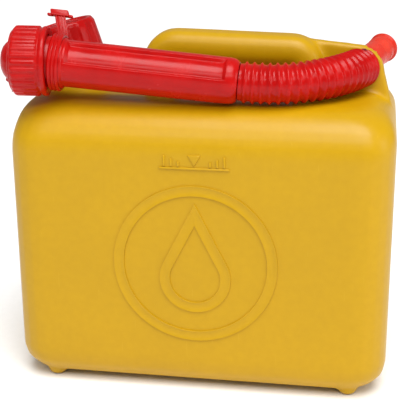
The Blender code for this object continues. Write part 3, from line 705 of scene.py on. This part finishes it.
def make_nut(place, red):
    """The union nut: soft grip ribs, a groove and a smooth flared collar at its end wall."""
    corners = [
        (20.6, -21.1), (21.2, -21.1), (21.7, -20.6), (22.2, -19.6), (22.3, -18.6), (22.3, -11.5),
        (22.3, -4.6), (22.0, -3.8), (21.6, -3.0), (21.9, -2.3), (22.6, -1.5), (22.8, -0.4),
        (22.6, 0.8), (21.9, 1.35), (20.5, 1.4), (17.6, 1.4), (17.1, 1.0), (17.1, -1.2),
        (20.0, -1.2), (20.6, -1.8), (20.6, -21.1),
    ]
    steps = 180
    nut = turn_profile("ribbed_union_nut", corners, steps)

    def on_rib(spot, normal):
        outside = -19.8 < spot.z / MM < -4.2 and spot.xy.length > 22.0 * MM
        return outside and column(spot, steps) % 6 in (1, 2, 3)

    swell(nut, 1.027, on_rib)
    round_edges(nut, 0.18, 24.0)
    seat(nut, place)
    fit_out(nut, "union_nut", red, "red_closure", "spout_nut")


def make_plug(place, red):
    """The dust plug: a domed middle, a rolled flange and a squared lip to pull it by."""
    corners = [
        (POLE, -30.3), (3.5, -30.1), (6.8, -29.4), (9.6, -28.1), (11.6, -26.4), (12.9, -24.6),
        (13.5, -22.9), (14.1, -22.3), (17.2, -22.2), (17.9, -22.6), (19.3, -22.6), (20.0, -22.1),
        (20.1, -21.2), (18.1, -20.7), (18.1, -11.7), (16.5, -11.7), (16.5, -20.7), (11.8, -21.2),
        (9.0, -25.6), (4.0, -28.4), (POLE, -28.9),
    ]
    plug = turn_profile("domed_dust_plug", corners, 96)

    def at_lip(middle, normal):
        low_side = middle.y < -0.7 * middle.xy.length and abs(middle.x) < 5.0 * MM
        on_shoulder = -27.3 * MM < middle.z < -22.4 * MM and middle.xy.length > 11.8 * MM
        return low_side and on_shoulder

    edit_picked(plug, "FACE", at_lip)
    pull = (0.0, -1.6 * MM, -0.5 * MM)
    bpy.ops.mesh.extrude_region_move(TRANSFORM_OT_translate={"value": pull})
    leave_edit()
    round_edges(plug, 0.3, 30.0)
    seat(plug, place)
    fit_out(plug, "nut_plug", red, "red_closure", "spout_nut_plug")


def make_tube(place, red):
    """The stiff tube: a flange in the nut, a smooth collar, two long flutes and a rounded mouth."""
    corners = [
        (11.0, -6.53), (19.0, -6.53), (19.4, -6.1), (19.4, -3.9), (19.0, -3.53), (16.7, -3.53),
        (16.6, -3.2), (16.6, 11.6), (16.2, 12.3), (15.4, 12.9), (15.38, 14.1), (15.36, 16.1),
    ]
    for step in range(1, 9):
        corners.append((15.36 - 0.024 * step, 16.1 + 96.4 * step / 8))
    corners += [
        (15.14, 116.5), (15.12, 118.5), (15.08, 120.2), (14.95, 121.8), (14.65, 123.2),
        (14.2, 124.4), (13.6, 125.4), (13.0, 126.1), (12.5, 126.45), (12.0, 126.1),
        (11.8, 125.0), (11.6, 120.5), (11.0, 112.5), (11.0, 50.0), (11.0, -6.53),
    ]
    tube = turn_profile("fluted_tube", corners, 96)

    def in_flute(spot, normal):
        angle = math.degrees(math.atan2(spot.y, spot.x))
        away = min(abs((angle - middle + 180) % 360 - 180) for middle in (138.0, 318.0))
        return away < 29.9 and 15.5 < spot.z / MM < 117.0 and spot.xy.length > 14.0 * MM

    swell(tube, 0.835, in_flute)
    round_edges(tube, 0.45, 30.0)
    seat(tube, place)
    fit_out(tube, "spout", red, "red_spout", "spout_tube")


def hose_route(start, end, steps):
    """The hose's centre line: straight on from the tube, then one round bend to the eye. It keeps
    the tube's dip at first, sags and comes level, and runs on a little past its end."""
    ahead = Vector((math.cos(SPOUT_HEADING), math.sin(SPOUT_HEADING), 0.0))
    side = Vector((-math.sin(SPOUT_HEADING), math.cos(SPOUT_HEADING), 0.0))
    turn = NOZZLE_HEADING - SPOUT_HEADING
    radius = (end - start).dot(side) / (1 - math.cos(turn))
    straight = (end - start).dot(ahead) - radius * math.sin(turn)
    length = straight + radius * turn
    rise = end.z - start.z
    drop = math.tan(SPOUT_DIP) * length
    points = []
    for step in range(steps + 1):
        share = step / steps
        bent = max(length * share - straight, 0.0) / radius
        reach = min(length * share, straight) + radius * math.sin(bent)
        point = start + ahead * reach + side * radius * (1 - math.cos(bent))
        eased = 3 * share**2 - 2 * share**3
        point.z = start.z + rise * eased - drop * share * (1 - share) ** 2
        points.append(point)
    onwards = Vector((math.cos(NOZZLE_HEADING), math.sin(NOZZLE_HEADING), 0.0))
    points += [end + onwards * 0.003 * step for step in range(1, 7)]
    return points


def bend_along(piece, route):
    """Bends a piece made up local Z to follow a route."""
    data = bpy.data.curves.new("hose_route", "CURVE")
    data.dimensions = "3D"
    data.twist_mode = "MINIMUM"
    spline = data.splines.new("POLY")
    spline.points.add(len(route) - 1)
    for point, spot in zip(spline.points, route):
        point.co = (*spot, 1.0)
    guide = bpy.data.objects.new("hose_route", data)
    bpy.context.scene.collection.objects.link(guide)
    modify(piece, "CURVE", object=guide, deform_axis="POS_Z")
    bpy.data.objects.remove(guide, do_unlink=True)


def make_hose(spout, red):
    """The bellows hose: round-crested folds bent along the hose's route and cut at the web."""
    along = spout.to_3x3() @ Vector((0.0, 0.0, 1.0))
    start = spout.translation + along * (TUBE_LENGTH + HOSE_START_GAP) * MM
    route = hose_route(start, HOSE_END, 60)
    length = sum((after - point).length for point, after in zip(route, route[1:])) / MM
    folded = length - 2 * HOSE_CUFF
    folds = round(folded / HOSE_PITCH)
    pitch = folded / folds
    fold_height = HOSE_CREST - HOSE_VALLEY
    fold_shape = ((0.0, 0.0), (0.22, 0.16), (0.38, 0.8), (0.5, 1.0), (0.62, 0.8), (0.78, 0.16))
    corners = [(HOSE_BORE, 0.0), (HOSE_VALLEY, 0.0)]
    for fold in range(folds):
        for share, height in fold_shape:
            radius = HOSE_VALLEY + fold_height * height
            corners.append((radius, HOSE_CUFF + pitch * (fold + share)))
    end = length - 0.05
    corners += [(HOSE_VALLEY, length - HOSE_CUFF), (HOSE_VALLEY, end), (HOSE_BORE, end)]
    for fold in range(folds, 0, -1):
        corners.append((HOSE_BORE, HOSE_CUFF + pitch * (fold - 0.5)))
    corners.append((HOSE_BORE, 0.0))
    hose = turn_profile("bellows_hose", corners, 64)
    bend_along(hose, route)
    work_on(hose)
    edit_all()
    bpy.ops.mesh.bisect(
        plane_co=(0.0, CAN_Y - (WEB_HALF + WEB_GAP) * MM, 0.0),
        plane_no=(0.0, 1.0, 0.0),
        use_fill=True,
        clear_outer=True,
    )
    bpy.ops.mesh.select_all(action="SELECT")
    bpy.ops.mesh.normals_make_consistent(inside=False)
    leave_edit()
    bpy.ops.object.shade_smooth_by_angle(angle=math.radians(60.0))
    fit_out(hose, "spout", red, "red_spout", "spout_hose")


def make_nozzle(pale):
    """The thin nozzle: a cuff on the hose, a cone, a straight pipe, a bead and a rolled rim."""
    corners = [
        (9.1, 2.0), (10.4, 2.0), (10.6, 2.3), (10.4, 3.4), (9.9, 5.2), (9.4, 7.2), (9.3, 8.5),
        (9.3, 20.0), (9.3, 30.0), (9.3, 38.2), (9.55, 38.6), (9.6, 39.1), (9.35, 39.5),
        (9.3, 40.2), (9.3, 45.0), (9.7, 45.4), (10.3, 46.0), (10.35, 46.8), (10.1, 47.5),
        (9.5, 47.8), (8.7, 47.8), (8.1, 47.4), (7.8, 46.6), (7.8, 30.0), (7.8, 8.0), (8.9, 5.0),
        (9.1, 2.0),
    ]
    nozzle = turn_profile("pale_nozzle", corners, 72)
    seat(nozzle, axis_place(HOSE_END, -Vector(joint_named("spout_draw")["axis"])))
    fit_out(nozzle, "spout", pale, "thin_nozzle", "spout_nozzle")


def make_tether(spout, red):
    """The tether: a ridged ring on the collar, a ribbed band that stands up from it and its cross
    head with two prongs."""
    corners = [(17.0, 3.7), (17.9, 3.7)]
    for ridge in range(3):
        low = 3.9 + 2.45 * ridge
        corners += [(18.1, low), (18.6, low + 0.5), (TETHER_CREST, low + 1.0)]
        corners += [(18.6, low + 1.5), (18.1, low + 2.0)]
    corners += [(17.9, 11.15), (17.0, 11.15), (17.0, 3.7)]
    ring = turn_profile("tether_ring", corners, 96)
    seat(ring, spout)
    fit_out(ring, "tether", red, "red_closure", "tether_strap")
    lean = Matrix.Identity(4)
    lean[2][0] = -TETHER_LEAN
    lean[2][3] = TETHER_LEAN * TETHER_CREST * MM
    place = turned(spout, TETHER_TURN) @ lean
    band = block("tether_band", (15.6, 1.5, 7.2), (25.4, 0.0, BAND_MIDDLE))
    round_edges(band, 0.35)
    seat(band, place)
    fit_out(band, "tether", red, "red_closure")
    for index in range(4):
        name = "tether_band_rib_%d" % (index + 1)
        rib = block(name, (14.6, 2.4, 0.75), (25.4, 0.0, BAND_MIDDLE - 2.7 + 1.8 * index))
        round_edges(rib, 0.25)
        seat(rib, place)
        fit_out(rib, "tether", red, "red_closure")
    head = block("tether_cross_head", (4.4, 3.5, 11.6), (34.8, 0.0, BAND_MIDDLE))
    step_faces(head, lambda middle, normal: abs(normal.z) > 0.9, margin=0.9, height=0.4)
    round_edges(head, 0.5)
    seat(head, place)
    fit_out(head, "tether", red, "red_closure")
    corners = [
        (POLE, -2.0), (0.8, -1.8), (1.15, -1.2), (1.15, 1.2), (0.8, 1.9), (POLE, 2.1),
    ]
    for word, height in (("left", 0.6), ("right", 14.2)):
        prong = turn_profile("tether_prong_" + word, corners, 16)
        seat(prong, place @ Matrix.Translation((33.2 * MM, 0.0, height * MM)))
        fit_out(prong, "tether", red, "red_closure")


make_camera()
make_studio()
yellow_shell = satin_yellow()
red_closure = red_plastic("injection_moulded_red_pe", "#A60504", "#B80A08", 0.25, 0.05)
red_spout = red_plastic("extruded_red_pe", "#A60504", "#B80A08", 0.22, 0.05)
thin_nozzle = red_plastic("thin_wall_pale_red_pe", "#C2281C", "#CE3F2C", 0.26, 0.25)
rubber = seal_rubber()
neck_axis = joint_place("cap_turn")
spout_axis = joint_place("tether_swivel")
nut_axis = joint_place("nut_spin")
mould_can(neck_axis, yellow_shell)
make_emblem(yellow_shell)
make_level_mark(yellow_shell)
make_neck_thread(neck_axis, yellow_shell)
make_cap(neck_axis, red_closure)
make_cap_catch(neck_axis, red_closure)
make_nut(nut_axis, red_closure)
make_plug(nut_axis, red_closure)
make_tube(spout_axis, red_spout)
make_hose(spout_axis, red_spout)
make_nozzle(thin_nozzle)
make_tether(spout_axis, red_closure)

# These keep their own shape and only get their finish.
finishes = {
    "filler_cap_inner": red_closure,
    "filler_cap_gasket": rubber,
    "spout_gasket": rubber,
}
for node, finish in finishes.items():
    frame["nodes"][node].data.materials.clear()
    frame["nodes"][node].data.materials.append(finish)
